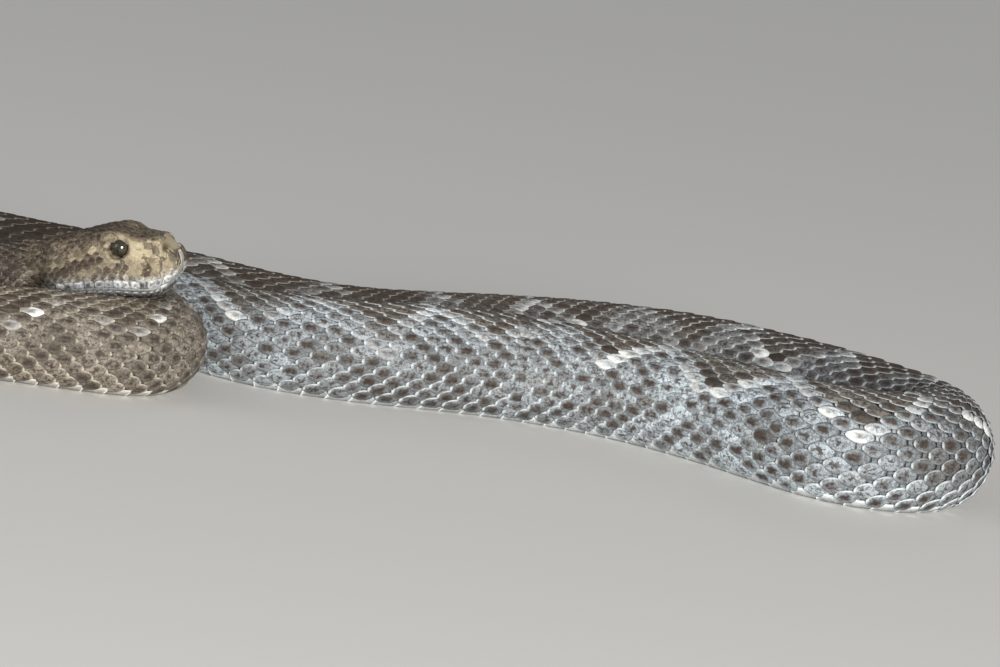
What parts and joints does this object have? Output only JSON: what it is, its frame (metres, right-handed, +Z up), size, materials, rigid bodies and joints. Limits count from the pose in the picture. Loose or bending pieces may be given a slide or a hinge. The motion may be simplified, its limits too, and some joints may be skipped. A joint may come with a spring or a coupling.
{
  "type": "rattlesnake model",
  "caption": "Life-size still model of a resting diamond-backed rattlesnake in loose loops, head resting on the first loop, rattle at the tail's end.",
  "frame": {"origin": "on the floor, under the middle of the whole animal's box", "axes": "+Z up, +X the way the head points, towards the far bend of the body, and -Y the side that the picture is taken from"},
  "size_m": [0.4201, 0.1931, 0.0491],
  "materials": {
    "skin": "dry keeled scales, dull satin",
    "head_skin": "small dry scales, dull satin",
    "jaw_skin": "smooth chin scales, satin",
    "tail_skin": "dry scales ringed in black and white",
    "eye": "wet gloss",
    "rattle": "dry horn, satin"
  },
  "bodies": {
    "root": {"neck": "skin", "neck_turn": "skin", "body_first_arm": "skin", "body_first_loop": "skin", "body_second_arm": "skin", "body_left_turn": "skin", "body_back_left": "skin", "body_back_middle": "skin", "body_back_right": "skin", "body_right_bend": "skin", "body_front_right": "skin", "body_front_middle": "skin", "body_front_left": "skin", "body_hind": "skin", "tail": "tail_skin", "head": "head_skin", "jaw": "jaw_skin", "eye_right": "eye", "eye_left": "eye", "rattle": "rattle"}
  },
  "joints": []
}
